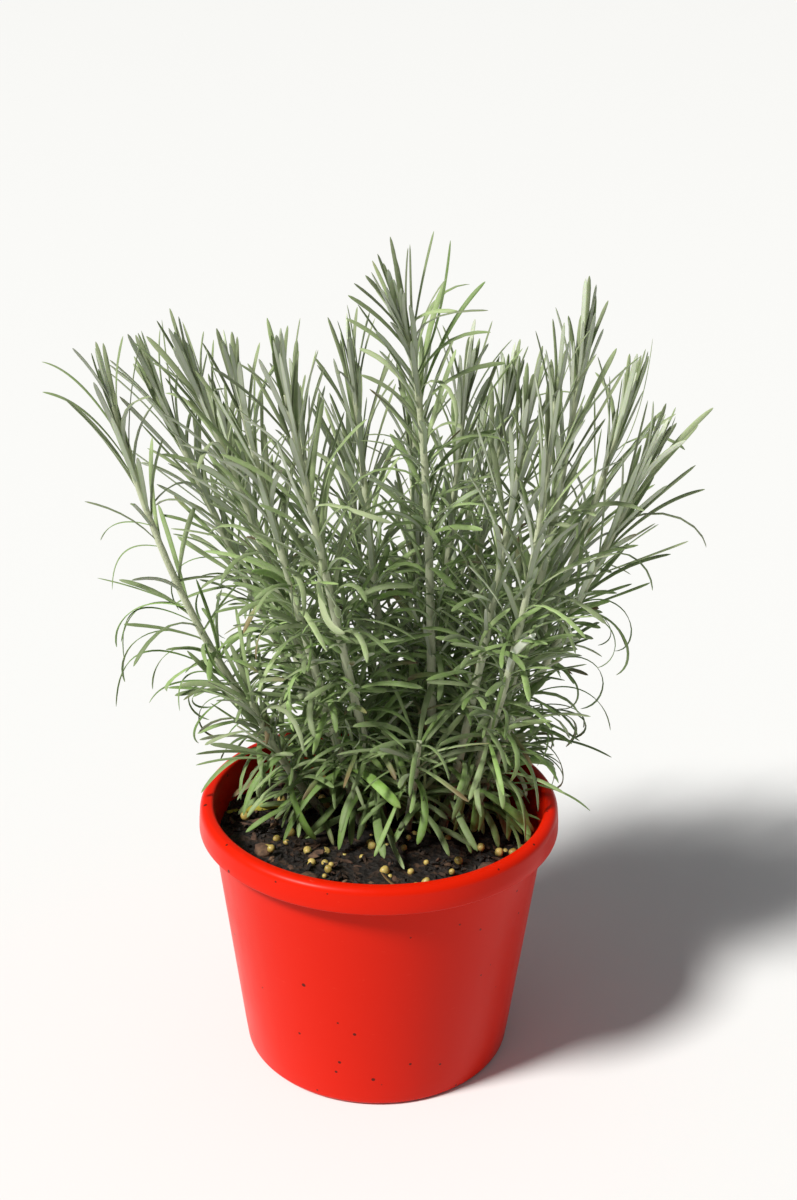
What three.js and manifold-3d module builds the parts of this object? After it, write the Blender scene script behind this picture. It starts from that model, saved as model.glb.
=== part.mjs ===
// Potted curry plant: a silver-leaved herb rooted in potting mix, in a moulded nursery pot with a rolled rim.
// Millimetres, +Z up. The origin is the middle of the flat face that the pot stands on.
import * as THREE from "three";
import { mergeVertices } from "three/addons/utils/BufferGeometryUtils.js";
import Module from "manifold-3d";

// ---- Driving dimensions ----

const GAP = 0.35; // clearance between neighbouring solids

const POT = {
  height: 106,
  rimRadius: 70,
  skirtHeight: 10, // the rolled rim's outer band
  bodyTopRadius: 65, // under the rim
  baseRadius: 53,
  wall: 1.4,
  padRadius: 25, // middle of the base, which stands on the table
  footRingRadius: 47.5, // inner edge of the ring that stands on the table
  raised: 2, // the drained part of the base sits this far off the table
  segments: 48,
};

const DRAIN = { count: 8, radius: 3.5, circle: 37 };

const MIX = { level: 88, fallX: -0.07, fallY: -0.05, rings: 6, segments: 30 };

const STEM = {
  footRadius: 2,
  tipRadius: 1,
  buried: 12, // length of stem below the mix's surface
  bare: 5, // length of stem above it that carries no leaf
  sides: 5,
  steps: 8,
};

const LEAF = {
  length: 45,
  width: 2,
  spacing: 2.2, // of the full foliage, along the stem
  thinning: 7, // these solids carry one leaf in this many
  turn: THREE.MathUtils.degToRad(137.5), // from each leaf round the stem to the next
  steps: 2,
};

// Each shoot: where its foot comes out of the mix (x, y), where its growing tip is (x, y, z), and its arch. With an
// arch above 0 it leaves the mix outwards and turns up, with one below 0 it rises first, and at 0 it is straight.
const SHOOTS = [
  { name: "shoot_front_left_outer", foot: [-17, 27], tip: [-94, -10, 263], arch: 0.19 },
  { name: "shoot_left_rear", foot: [-9, 36], tip: [-81, 16, 259], arch: 0.03 },
  { name: "shoot_left_middle", foot: [-10, 18], tip: [-64, -15, 272], arch: -0.04 },
  { name: "shoot_front", foot: [2, 12], tip: [-31, -45, 277], arch: 0.02 },
  { name: "shoot_front_left_inner", foot: [-7, 8], tip: [-47, -32, 270], arch: 0.02 },
  { name: "shoot_tallest", foot: [21, 16], tip: [7, -13, 293], arch: -0.34 },
  { name: "shoot_centre_rear", foot: [7, 33], tip: [-11, 22, 264], arch: 0.0 },
  { name: "shoot_right_rear_inner", foot: [16, 38], tip: [30, 30, 260], arch: 0.06 },
  { name: "shoot_right_rear_outer", foot: [22, 44], tip: [47, 50, 250], arch: 0.02 },
  { name: "shoot_right_front", foot: [27, 20], tip: [59, -22, 271], arch: 0.26 },
  { name: "shoot_right", foot: [32, 27], tip: [69, -4, 283], arch: 0.21 },
  { name: "shoot_right_outer", foot: [37, 33], tip: [95, 6, 238], arch: 0.02 },
  { name: "shoot_right_rear", foot: [30, 39], tip: [90, 38, 248], arch: 0.12 },
  { name: "shoot_right_inner", foot: [25, 8], tip: [50, -12, 259], arch: 0.06 },
  { name: "shoot_rear_left", foot: [0, 42], tip: [-34, 62, 238], arch: 0.1 },
  { name: "shoot_rear", foot: [9, 44], tip: [12, 68, 244], arch: 0.1 },
  { name: "shoot_rear_right", foot: [17, 51], tip: [38, 76, 224], arch: 0.1 },
  { name: "shoot_rear_left_outer", foot: [-12, 44], tip: [-62, 64, 228], arch: 0.1 },
  { name: "shoot_rear_outer", foot: [4, 52], tip: [-14, 78, 216], arch: 0.1 },
  { name: "shoot_short_rear", foot: [13, 27], tip: [14, 36, 200], arch: 0.04 },
  { name: "shoot_short_front", foot: [11, 5], tip: [15, -13, 136], arch: 0.05 },
  { name: "shoot_short_left", foot: [-20, 12], tip: [-48, -10, 150], arch: 0.1 },
  { name: "shoot_short_right", foot: [35, 18], tip: [50, 0, 138], arch: 0.1 },
  { name: "shoot_short_rear_right", foot: [28, 48], tip: [73, 60, 184], arch: -0.15 },
];

const BEAD = { count: 18, radius: 1.7, reach: 54 }; // slow-release fertiliser, scattered as far out as its reach
const CHIPS = [
  { name: "bark_chip_front", at: [-28, -43], size: [11, 5, 2.4], turn: 25 },
  { name: "bark_chip_left", at: [-44, -20], size: [8, 5, 2.2], turn: 100 },
  { name: "bark_chip_right", at: [42, -25], size: [7, 6, 3.4], turn: 60 },
  { name: "bark_chip_front_right", at: [14, -50], size: [12, 4, 2], turn: 12 },
  { name: "bark_chip_rear", at: [-38, 38], size: [9, 5, 2.2], turn: 140 },
];
const FALLEN = [
  { name: "fallen_leaf_yellow", at: [-50, 12], length: 22, width: 4, turn: 15, droop: -1 },
  { name: "fallen_leaf_front", at: [7, -45], length: 17, width: 1.4, turn: 130, droop: 1 },
  { name: "fallen_leaf_rear", at: [22, 43], length: 20, width: 1.6, turn: 65, droop: 1 },
];

// The open space over the mix at the front, between the foliage and the rim, where water goes in.
const WATERING_SPACE = new THREE.Box3(
  new THREE.Vector3(-24, -57, 96),
  new THREE.Vector3(24, -46, 112),
);

const COLOUR = {
  pot: 0xe8281a,
  mix: 0x231a12,
  shoot: 0x8fa07c,
  bead: 0xc9b45a,
  bark: 0x5a4334,
  fallen: 0x8d8a3c,
};

// ---- Tools ----

const wasm = await Module();
wasm.setup();

// A closed geometry as a solid that can be joined and cut.
function solidOf(geometry) {
  const bare = new THREE.BufferGeometry()
    .setAttribute("position", geometry.getAttribute("position"))
    .setIndex(geometry.index);
  const merged = mergeVertices(bare, 1e-3);
  return new wasm.Manifold(
    new wasm.Mesh({
      numProp: 3,
      vertProperties: new Float32Array(merged.getAttribute("position").array),
      triVerts: new Uint32Array(merged.index.array),
    }),
  );
}

function geometryOf(solid) {
  const mesh = solid.getMesh();
  const geometry = new THREE.BufferGeometry()
    .setAttribute("position", new THREE.BufferAttribute(mesh.vertProperties, 3))
    .setIndex(new THREE.BufferAttribute(mesh.triVerts, 1));
  geometry.computeVertexNormals();
  return geometry;
}

function boxOf(solid) {
  const { min, max } = solid.boundingBox();
  return new THREE.Box3(new THREE.Vector3(...min), new THREE.Vector3(...max));
}

// Whether a piece runs into any of a list of solids. Solids whose boxes stay clear of it need no closer look.
function overlaps(piece, solids) {
  const box = boxOf(piece);
  return solids.some((solid) => boxOf(solid).intersectsBox(box) && piece.intersect(solid).volume() > 0);
}

// A steady stand-in for chance, from 0 to 1: the same pair of numbers always gives the same answer.
function chance(a, b) {
  const wave = Math.sin(a * 12.9898 + b * 78.233) * 43758.5453;
  return wave - Math.floor(wave);
}

// A prism of unit radius, its axis laid along a curve, which it may overrun at the start if from is below 0. side is
// the direction across it, and sizeAt(share) gives its half width and half thickness there.
function prismAlong(curve, { sides, steps, side, sizeAt, from = 0, pointed = false }) {
  const geometry = new THREE.CylinderGeometry(pointed ? 0 : 1, 1, 1, sides, steps);
  const position = geometry.getAttribute("position");
  const vertex = new THREE.Vector3();
  for (let i = 0; i < position.count; i++) {
    vertex.fromBufferAttribute(position, i);
    const share = vertex.y + 0.5;
    const t = THREE.MathUtils.lerp(from, 1, share);
    const along = curve.getTangent(Math.max(t, 0));
    const thick = new THREE.Vector3().crossVectors(side, along).normalize();
    const wide = new THREE.Vector3().crossVectors(along, thick);
    const [halfWidth, halfThickness] = sizeAt(share);
    const place = curve
      .getPoint(t)
      .addScaledVector(wide, vertex.x * halfWidth)
      .addScaledVector(thick, vertex.z * halfThickness);
    position.setXYZ(i, place.x, place.y, place.z);
  }
  return solidOf(geometry);
}

function mesh(name, solid, colour, roughness) {
  const material = new THREE.MeshStandardMaterial({ color: colour, roughness, metalness: 0 });
  const made = new THREE.Mesh(geometryOf(solid), material);
  made.name = name;
  return made;
}

// ---- Pot ----

const bodyTop = POT.height - POT.skirtHeight;

function wallInsideRadius(z) {
  const outside = POT.baseRadius + ((POT.bodyTopRadius - POT.baseRadius) * z) / bodyTop;
  return outside - POT.wall;
}

// Half section of the pot, from the middle of its underside round the rim to the middle of its floor.
function potSection() {
  const { height, rimRadius, wall, raised, padRadius, footRingRadius, baseRadius, bodyTopRadius } = POT;
  const cornerRadius = 2;
  const rimRound = 2.6;
  const section = new THREE.Path();
  section.moveTo(0, 0);
  section.lineTo(padRadius, 0);
  section.lineTo(padRadius + raised, raised);
  section.lineTo(footRingRadius - raised, raised);
  section.lineTo(footRingRadius, 0);
  section.lineTo(baseRadius - cornerRadius, 0);
  section.quadraticCurveTo(baseRadius, 0, baseRadius + cornerRadius / 8, cornerRadius);
  section.lineTo(bodyTopRadius, bodyTop);
  section.lineTo(bodyTopRadius + 0.6, height - 2 * wall);
  section.lineTo(rimRadius - 1.6, height - 2 * wall);
  section.lineTo(rimRadius - 1.1, bodyTop + 0.4);
  section.lineTo(rimRadius, bodyTop);
  section.lineTo(rimRadius - 0.4, height - rimRound);
  section.quadraticCurveTo(rimRadius - 0.6, height, rimRadius - 0.6 - rimRound, height);
  section.lineTo(bodyTopRadius + 0.2, height);
  section.quadraticCurveTo(bodyTopRadius - 0.9, height, bodyTopRadius - 1.1, height - 1.2);
  section.lineTo(wallInsideRadius(bodyTop), bodyTop);
  section.lineTo(wallInsideRadius(raised + wall), raised + wall);
  section.lineTo(padRadius + raised / 2, raised + wall);
  section.lineTo(padRadius - wall, wall);
  section.lineTo(0, wall);
  return section.getPoints(2);
}

function pot() {
  const turned = new THREE.LatheGeometry(potSection(), POT.segments).rotateX(Math.PI / 2);
  let solid = solidOf(turned);
  for (let i = 0; i < DRAIN.count; i++) {
    const angle = (i * 2 * Math.PI) / DRAIN.count;
    const drill = new THREE.CylinderGeometry(DRAIN.radius, DRAIN.radius, 12, 16).rotateX(Math.PI / 2);
    drill.translate(DRAIN.circle * Math.cos(angle), DRAIN.circle * Math.sin(angle), 0);
    solid = solid.subtract(solidOf(drill));
  }
  return solid;
}

// ---- Potting mix ----

// Height of the mix: it lies lower at the right and the rear, and is lumpy.
function mixTop(x, y) {
  const lumps = 1.1 * Math.sin(x / 8 + 1) * Math.cos(y / 9) + 0.6 * Math.sin(x / 4.1 + y / 5.3);
  return MIX.level + MIX.fallX * x + MIX.fallY * y + lumps;
}

// Half section of the mix: its flat floor, and its top as rings of unit radius, to be laid over the real surface.
function mixSection() {
  const floor = POT.raised + POT.wall + GAP;
  const section = [new THREE.Vector2(0, floor), new THREE.Vector2(wallInsideRadius(floor) - GAP, floor)];
  for (let ring = MIX.rings; ring >= 0; ring--) {
    section.push(new THREE.Vector2(ring / MIX.rings, MIX.level));
  }
  return section;
}

function pottingMix(sockets) {
  const geometry = new THREE.LatheGeometry(mixSection(), MIX.segments).rotateX(Math.PI / 2);
  const position = geometry.getAttribute("position");
  for (let i = 0; i < position.count; i++) {
    if (position.getZ(i) < MIX.level) continue;
    const reach = wallInsideRadius(MIX.level) - GAP;
    const x = position.getX(i) * reach;
    const y = position.getY(i) * reach;
    const top = mixTop(x, y);
    const fit = (wallInsideRadius(top) - GAP) / reach;
    position.setXYZ(i, x * fit, y * fit, top);
  }
  return solidOf(geometry).subtract(wasm.Manifold.union(sockets));
}

// ---- Shoots ----

// A shoot's line: it leaves the mix steeply, and its arch carries it outwards before it turns up.
function stemCurve({ foot, tip, arch }) {
  const ground = new THREE.Vector3(foot[0], foot[1], mixTop(foot[0], foot[1]));
  const end = new THREE.Vector3(...tip);
  const control = new THREE.Vector3(
    THREE.MathUtils.lerp(ground.x, end.x, 0.5 + arch),
    THREE.MathUtils.lerp(ground.y, end.y, 0.5 + arch),
    THREE.MathUtils.lerp(ground.z, end.z, 0.5 - arch),
  );
  const start = ground.clone().addScaledVector(control.clone().sub(ground).normalize(), -STEM.buried);
  return new THREE.QuadraticBezierCurve3(start, control, end);
}

// A shoot's bare stem, thicker all round by extra, and starting from a share of its length that may be below 0.
function stem(curve, { extra = 0, from = 0 } = {}) {
  const sizeAt = (share) => {
    const radius = THREE.MathUtils.lerp(STEM.footRadius, STEM.tipRadius, share) + extra;
    return [radius, radius];
  };
  return prismAlong(curve, { sides: STEM.sides, steps: STEM.steps, side: new THREE.Vector3(1, 0, 0), sizeAt, from });
}

// The solid to cut from the mix for a shoot's foot, with clearance all round and below.
function socket(curve) {
  return stem(curve, { extra: GAP, from: -GAP / curve.getLength() });
}

// The line and width of leaf k of a shoot. Young leaves near the tip stand close to the stem and are crowded; old
// ones spread and droop.
function leafShape(shootNumber, curve, k, count) {
  const rise = (k + 0.5) / count;
  const lowest = curve.getUtoTmapping(0, STEM.buried + STEM.bare);
  const t = THREE.MathUtils.lerp(lowest, 1, 1 - (1 - rise) ** 1.15);
  const age = 1 - t;
  const along = curve.getTangent(t);
  const across = new THREE.Vector3(1, 0, 0).cross(along).normalize();
  const out = across.applyAxisAngle(along, k * LEAF.turn + shootNumber);
  const scatter = (12 + 24 * age) * (chance(shootNumber, k) - 0.5);
  const spread = THREE.MathUtils.degToRad(6 + 66 * age ** 1.1 + scatter);
  const grown = 0.55 + 0.45 * Math.min(1, age / 0.1);
  const length = LEAF.length * grown * (1 - 0.47 * age) * (0.74 + 0.4 * chance(k, shootNumber + 0.5));
  const droop = 1.9 * Math.max(0, age - 0.12) * (0.4 + 1.2 * chance(k + 0.3, shootNumber));
  const first = along.clone().multiplyScalar(Math.cos(spread)).addScaledVector(out, Math.sin(spread));
  const second = first.clone().add(new THREE.Vector3(0, 0, -droop)).normalize();
  const base = curve.getPoint(t);
  const elbow = base.clone().addScaledVector(first, 0.5 * length);
  const end = elbow.clone().addScaledVector(second, 0.5 * length);
  return {
    curve: new THREE.QuadraticBezierCurve3(base, elbow, end),
    side: new THREE.Vector3().crossVectors(along, out).normalize(),
    width: LEAF.width * (0.58 + 0.5 * age + 0.42 * chance(shootNumber + k, 2)),
  };
}

function leaf({ curve, side, width }) {
  return prismAlong(curve, {
    sides: 3,
    steps: LEAF.steps,
    side,
    sizeAt: (share) => [(width / 2) * (0.8 + 2.2 * share), 0.5 + share],
    pointed: true,
  });
}

function leafCount(curve) {
  return Math.round(curve.getLength() / LEAF.spacing);
}

// Every shoot's solid: its stem joined with those of its leaves that clear everything else.
function shoots(curves, stems, surroundings) {
  const made = [];
  curves.forEach((curve, shootNumber) => {
    const otherStems = stems.filter((_, other) => other !== shootNumber);
    const obstacles = [...otherStems, ...surroundings, ...made];
    const kept = [];
    const count = leafCount(curve);
    for (let k = 0; k < count; k += LEAF.thinning) {
      const candidate = leaf(leafShape(shootNumber, curve, k, count));
      if (!overlaps(candidate, obstacles)) kept.push(candidate);
    }
    made.push(wasm.Manifold.union([stems[shootNumber], ...kept]));
  });
  return made;
}

// ---- Loose things on the mix ----

// Raises a piece out of the mix until it lies just clear of everything.
function settle(piece, obstacles) {
  const step = 0.2;
  let placed = piece;
  while (overlaps(placed, obstacles)) placed = placed.translate([0, 0, step]);
  return placed.translate([0, 0, step / 2]);
}

// A fertiliser bead. The beads lie in a widening spiral, which spreads them evenly over the mix, clear of its middle.
function bead(i) {
  const inner = 6;
  const angle = i * LEAF.turn;
  const distance = BEAD.reach * Math.sqrt((i + inner) / (BEAD.count + inner));
  const x = distance * Math.cos(angle);
  const y = distance * Math.sin(angle);
  const radius = BEAD.radius * (0.85 + 0.3 * chance(i, 7));
  return solidOf(new THREE.IcosahedronGeometry(radius, 1).translate(x, y, mixTop(x, y)));
}

// A sliver of bark: a block that narrows unevenly towards its ends.
function barkChip({ at, size, turn }) {
  const box = new THREE.BoxGeometry(...size, 2, 1, 1);
  const position = box.getAttribute("position");
  for (let i = 0; i < position.count; i++) {
    const x = position.getX(i);
    const narrow = 1 - 0.35 * Math.abs(x / size[0]) - 0.1 * Math.sin(x + size[1]);
    position.setXYZ(i, x, position.getY(i) * narrow, position.getZ(i) * narrow);
  }
  box.rotateZ(THREE.MathUtils.degToRad(turn)).translate(at[0], at[1], mixTop(...at));
  return solidOf(box);
}

function fallenLeaf({ at, length, width, turn, droop }) {
  const curve = new THREE.QuadraticBezierCurve3(
    new THREE.Vector3(-length / 2, 0, 0),
    new THREE.Vector3(0, length / 10, droop),
    new THREE.Vector3(length / 2, 0, 0),
  );
  return prismAlong(curve, {
    sides: 4,
    steps: 3,
    side: new THREE.Vector3(0, 1, 0),
    sizeAt: (share) => [(width / 2) * (0.35 + 2.6 * share * (1 - share)), 0.4],
  })
    .rotate([0, 0, turn])
    .translate([at[0], at[1], mixTop(...at)]);
}

// ---- Assembly ----

const curves = SHOOTS.map(stemCurve);
const stems = curves.map((curve) => stem(curve));
const potSolid = pot();
const mixSolid = pottingMix(curves.map(socket));
const waterBox = new THREE.BoxGeometry(...WATERING_SPACE.getSize(new THREE.Vector3()).toArray());
waterBox.translate(...WATERING_SPACE.getCenter(new THREE.Vector3()).toArray());
const surroundings = [potSolid, mixSolid, solidOf(waterBox)];
const shootSolids = shoots(curves, stems, surroundings);

const plant = new THREE.Group();
plant.add(mesh("pot", potSolid, COLOUR.pot, 0.35));
plant.add(mesh("potting_mix", mixSolid, COLOUR.mix, 0.95));
shootSolids.forEach((solid, i) => {
  plant.add(mesh(SHOOTS[i].name, solid, COLOUR.shoot, 0.8));
});

const placed = [potSolid, mixSolid, ...shootSolids];
function addLoose(name, piece, colour) {
  const settled = settle(piece, placed);
  placed.push(settled);
  plant.add(mesh(name, settled, colour, 0.7));
}
CHIPS.forEach((chip) => addLoose(chip.name, barkChip(chip), COLOUR.bark));
FALLEN.forEach((fallen) => addLoose(fallen.name, fallenLeaf(fallen), COLOUR.fallen));
for (let i = 0; i < BEAD.count; i++) {
  addLoose(`fertiliser_bead_${String(i + 1).padStart(2, "0")}`, bead(i), COLOUR.bead);
}

export default plant;
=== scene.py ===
import math
import random

import bmesh
import bpy
from mathutils import Matrix, Quaternion, Vector, noise


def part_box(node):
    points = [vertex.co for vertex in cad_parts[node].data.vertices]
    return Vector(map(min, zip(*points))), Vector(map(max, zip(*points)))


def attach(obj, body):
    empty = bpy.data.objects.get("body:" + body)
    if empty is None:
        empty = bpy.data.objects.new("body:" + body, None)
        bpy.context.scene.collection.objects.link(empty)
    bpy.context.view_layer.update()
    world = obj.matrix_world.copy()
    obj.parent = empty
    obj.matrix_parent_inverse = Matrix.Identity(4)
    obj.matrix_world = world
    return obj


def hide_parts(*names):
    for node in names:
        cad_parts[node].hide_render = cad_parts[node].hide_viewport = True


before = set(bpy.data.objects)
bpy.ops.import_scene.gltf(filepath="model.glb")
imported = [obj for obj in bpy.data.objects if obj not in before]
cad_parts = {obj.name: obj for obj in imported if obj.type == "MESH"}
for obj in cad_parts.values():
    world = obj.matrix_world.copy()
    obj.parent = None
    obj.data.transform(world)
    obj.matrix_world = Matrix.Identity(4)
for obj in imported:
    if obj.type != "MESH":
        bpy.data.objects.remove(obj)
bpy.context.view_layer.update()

MM = 0.001
BODY = "root"

# ---- Pot ----
# One injection-moulded piece of red polypropylene. Its wall tapers to the base, its rim rolls out and down into a
# skirt, and the base stands on a centre pad and an outer ring, with drain holes in the raised floor between them.

POT_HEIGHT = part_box("pot")[1][2] / MM
RIM_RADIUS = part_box("pot")[1][0] / MM
SKIRT = 10.0
BODY_TOP_RADIUS = 65.0
BASE_RADIUS = 53.0
WALL = 1.4
PAD_RADIUS = 25.0
RING_RADIUS = 47.5
RAISED = 2.0
TURN_STEPS = 160
DRAIN_RADIUS = 3.5
DRAIN_CIRCLE = 37.0
DRAIN_COUNT = 8

POT_RED = "d41c03"
POT_SCUFF = "f2674f"
POT_DIRT = "5a1a12"


def linear(hex_text):
    """An sRGB hex colour as the linear RGBA that a shader takes."""
    channels = [int(hex_text[i:i + 2], 16) / 255 for i in (0, 2, 4)]
    return [c / 12.92 if c <= 0.04045 else ((c + 0.055) / 1.055) ** 2.4 for c in channels] + [1.0]


def add_node(material, kind, inputs=None, **settings):
    """Adds a node, sets its properties, and gives each of its inputs a value or a link from another node's socket."""
    node = material.node_tree.nodes.new(kind)
    for key, value in settings.items():
        setattr(node, key, value)
    for key, value in (inputs or {}).items():
        if isinstance(value, bpy.types.NodeSocket):
            material.node_tree.links.new(value, node.inputs[key])
        else:
            node.inputs[key].default_value = value
    return node


def new_material(name):
    """An empty node material, with the output node for its shader."""
    material = bpy.data.materials.new(name)
    material.use_nodes = True
    material.node_tree.nodes.clear()
    return material, add_node(material, "ShaderNodeOutputMaterial")


def make_piece(name, bm, material, replaced=(), sharp=40.0):
    """Turns a bmesh in millimetres into a finished piece that rides with the pot."""
    bmesh.ops.scale(bm, verts=bm.verts, vec=(MM, MM, MM))
    mesh = bpy.data.meshes.new(name)
    bm.to_mesh(mesh)
    bm.free()
    mesh.shade_smooth()
    mesh.set_sharp_from_angle(angle=math.radians(sharp))
    mesh.materials.append(material)
    piece = bpy.data.objects.new(name, mesh)
    bpy.context.scene.collection.objects.link(piece)
    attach(piece, BODY)
    if replaced:
        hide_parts(*replaced)
    return piece


def arc(centre_r, centre_z, radius, start, end, steps):
    """Points of a rounded corner in the pot's half section, between two angles in degrees."""
    angles = [math.radians(start + (end - start) * i / steps) for i in range(steps + 1)]
    return [(centre_r + radius * math.cos(a), centre_z + radius * math.sin(a)) for a in angles]


def wall_inside_radius(z):
    """Inner radius of the pot's body at a height, in millimetres."""
    return BASE_RADIUS + (BODY_TOP_RADIUS - BASE_RADIUS) * z / (POT_HEIGHT - SKIRT) - WALL


top = POT_HEIGHT
skirt_low = POT_HEIGHT - SKIRT
pot_section = [(0, 0), (PAD_RADIUS - 0.4, 0), (PAD_RADIUS, 0.2), (PAD_RADIUS + RAISED, RAISED)]
pot_section += [(RING_RADIUS - RAISED, RAISED), (RING_RADIUS, 0.2), (RING_RADIUS + 0.4, 0)]
pot_section += arc(BASE_RADIUS - 2.2, 2.4, 2.4, -90, -6, 6)
pot_section += [(BASE_RADIUS + (BODY_TOP_RADIUS - BASE_RADIUS) * share, skirt_low * share) for share in
                (0.1, 0.3, 0.5, 0.7, 0.9, 0.985)]
pot_section += [(BODY_TOP_RADIUS + 0.1, skirt_low + 2), (BODY_TOP_RADIUS + 0.5, top - 3.4)]
pot_section += [(BODY_TOP_RADIUS + 1.2, top - 2.7), (RIM_RADIUS - 2.3, top - 2.7), (RIM_RADIUS - 1.5, top - 3.6)]
pot_section += arc(RIM_RADIUS - 0.62, skirt_low + 0.62, 0.62, 180, 360, 6)
pot_section += [(RIM_RADIUS - 0.1, skirt_low + 3.5)]
pot_section += arc(RIM_RADIUS - 3.4, top - 3.0, 3.0, 4, 90, 8)
pot_section += arc(BODY_TOP_RADIUS + 0.7, top - 1.6, 1.6, 94, 176, 6)
pot_section += [(wall_inside_radius(skirt_low) + 0.05, skirt_low + 1.5), (wall_inside_radius(80), 80)]
pot_section += [(wall_inside_radius(40), 40), (wall_inside_radius(6), 6)]
pot_section += arc(wall_inside_radius(4) - 1.5, RAISED + WALL + 1.5, 1.5, -5, -90, 4)
pot_section += [(PAD_RADIUS + RAISED - 0.6, RAISED + WALL), (PAD_RADIUS - 1, WALL), (0, WALL)]

bm = bmesh.new()
section_verts = [bm.verts.new((r, 0, z)) for r, z in pot_section]
section_edges = [bm.edges.new(pair) for pair in zip(section_verts, section_verts[1:])]
bmesh.ops.spin(bm, geom=section_verts + section_edges, cent=(0, 0, 0), axis=(0, 0, 1),
               angle=2 * math.pi, steps=TURN_STEPS, use_merge=True, use_duplicate=False)
bmesh.ops.remove_doubles(bm, verts=bm.verts, dist=0.001)
bmesh.ops.recalc_face_normals(bm, faces=bm.faces)

moulding, output = new_material("injection_moulded_polypropylene_red")
# Red polypropylene out of a polished mould: a clean gloss with a faint ripple, dulled in patches by dried water,
# with pale scuffs round the rim and specks of splashed mix.
place = add_node(moulding, "ShaderNodeTexCoord").outputs["Object"]
patches = add_node(moulding, "ShaderNodeTexNoise", {"Vector": place, "Scale": 38.0, "Detail": 3.0, "Roughness": 0.55})
streak_space = add_node(moulding, "ShaderNodeMapping", {"Vector": place, "Scale": (1.0, 1.0, 0.12)})
streaks = add_node(moulding, "ShaderNodeTexNoise",
                   {"Vector": streak_space.outputs[0], "Scale": 160.0, "Detail": 4.0, "Roughness": 0.6})
scuff_space = add_node(moulding, "ShaderNodeMapping", {"Vector": place, "Scale": (0.5, 0.5, 3.0)})
scuffs = add_node(moulding, "ShaderNodeTexNoise",
                  {"Vector": scuff_space.outputs[0], "Scale": 260.0, "Detail": 5.0, "Roughness": 0.7})
scuff_mask = add_node(moulding, "ShaderNodeMapRange",
                      {0: scuffs.outputs["Fac"], 1: 0.66, 2: 0.8, 3: 0.0, 4: 0.5})
specks = add_node(moulding, "ShaderNodeTexVoronoi", {"Vector": place, "Scale": 150.0}, feature="F1")
speck_pick = add_node(moulding, "ShaderNodeSeparateColor", {"Color": specks.outputs["Color"]})
speck_size = add_node(moulding, "ShaderNodeMapRange", {0: speck_pick.outputs[0], 1: 0.1, 2: 1.0, 3: 0.0, 4: 0.12})
speck_mask = add_node(moulding, "ShaderNodeMath", {0: specks.outputs["Distance"], 1: speck_size.outputs[0]},
                      operation="LESS_THAN")
worn = add_node(moulding, "ShaderNodeMix", {0: scuff_mask.outputs[0], 6: linear(POT_RED), 7: linear(POT_SCUFF)},
                data_type="RGBA")
splashed = add_node(moulding, "ShaderNodeMix", {0: speck_mask.outputs[0], 6: worn.outputs[2], 7: linear(POT_DIRT)},
                    data_type="RGBA")
dull = add_node(moulding, "ShaderNodeMath", {0: patches.outputs["Fac"], 1: streaks.outputs["Fac"]},
                operation="MULTIPLY")
gloss = add_node(moulding, "ShaderNodeMapRange", {0: dull.outputs[0], 1: 0.15, 2: 0.42, 3: 0.3, 4: 0.38})
ripple = add_node(moulding, "ShaderNodeTexNoise", {"Vector": place, "Scale": 90.0, "Detail": 2.0})
relief = add_node(moulding, "ShaderNodeMath", {0: ripple.outputs["Fac"], 1: scuff_mask.outputs[0]},
                  operation="SUBTRACT")
bump = add_node(moulding, "ShaderNodeBump", {"Height": relief.outputs[0], "Strength": 0.05, "Distance": 0.0004})
plastic = add_node(moulding, "ShaderNodeBsdfPrincipled", {
    "Base Color": splashed.outputs[2], "Roughness": gloss.outputs[0], "Normal": bump.outputs[0],
    "IOR": 1.49, "Specular IOR Level": 0.11})
moulding.node_tree.links.new(plastic.outputs[0], output.inputs[0])

pot = make_piece("pot_moulding", bm, moulding, ["pot"], sharp=50)

# The drain holes are drilled through the raised floor, and the drills are then taken away.
bm = bmesh.new()
for i in range(DRAIN_COUNT):
    angle = 2 * math.pi * i / DRAIN_COUNT
    at = Vector((DRAIN_CIRCLE * math.cos(angle), DRAIN_CIRCLE * math.sin(angle), 3))
    bmesh.ops.create_cone(bm, cap_ends=True, segments=24, radius1=DRAIN_RADIUS, radius2=DRAIN_RADIUS, depth=12,
                          matrix=Matrix.Translation(at))
bmesh.ops.scale(bm, verts=bm.verts, vec=(MM, MM, MM))
drill_mesh = bpy.data.meshes.new("drills")
bm.to_mesh(drill_mesh)
bm.free()
drills = bpy.data.objects.new("drills", drill_mesh)
bpy.context.scene.collection.objects.link(drills)
cut = pot.modifiers.new("drain_holes", "BOOLEAN")
cut.operation = "DIFFERENCE"
cut.solver = "EXACT"
cut.object = drills
drilled = bpy.data.meshes.new_from_object(pot.evaluated_get(bpy.context.evaluated_depsgraph_get()))
pot.modifiers.clear()
pot.data = drilled
bpy.data.objects.remove(drills)

# ---- Potting mix ----
# Composted bark and peat, near black when damp. It has settled a little below the rim, lower at the right and rear,
# and its surface is a rubble of crumbs and slivers.

MIX_LEVEL = 88.0
MIX_CLEARANCE = 0.3
MIX_RINGS = 74
CRUMBS = 1500
SLIVERS = 150
MIX_BROWN = "140d08"
MIX_LIGHT = "4a3422"
BARK_BROWN = "5b4233"
BARK_PALE = "8a6c50"


def mix_top(x, y):
    """Height of the mix at a place, in millimetres."""
    lumps = 1.1 * math.sin(x / 8 + 1) * math.cos(y / 9) + 0.6 * math.sin(x / 4.1 + y / 5.3)
    return MIX_LEVEL - 0.07 * x - 0.05 * y + lumps


def mix_surface(x, y):
    """The mix's height with its crumbs, in millimetres."""
    rough = noise.fractal(Vector((x, y, 0)) / 5.0, 0.8, 2.1, 4)
    return mix_top(x, y) + 1.3 * rough


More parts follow.
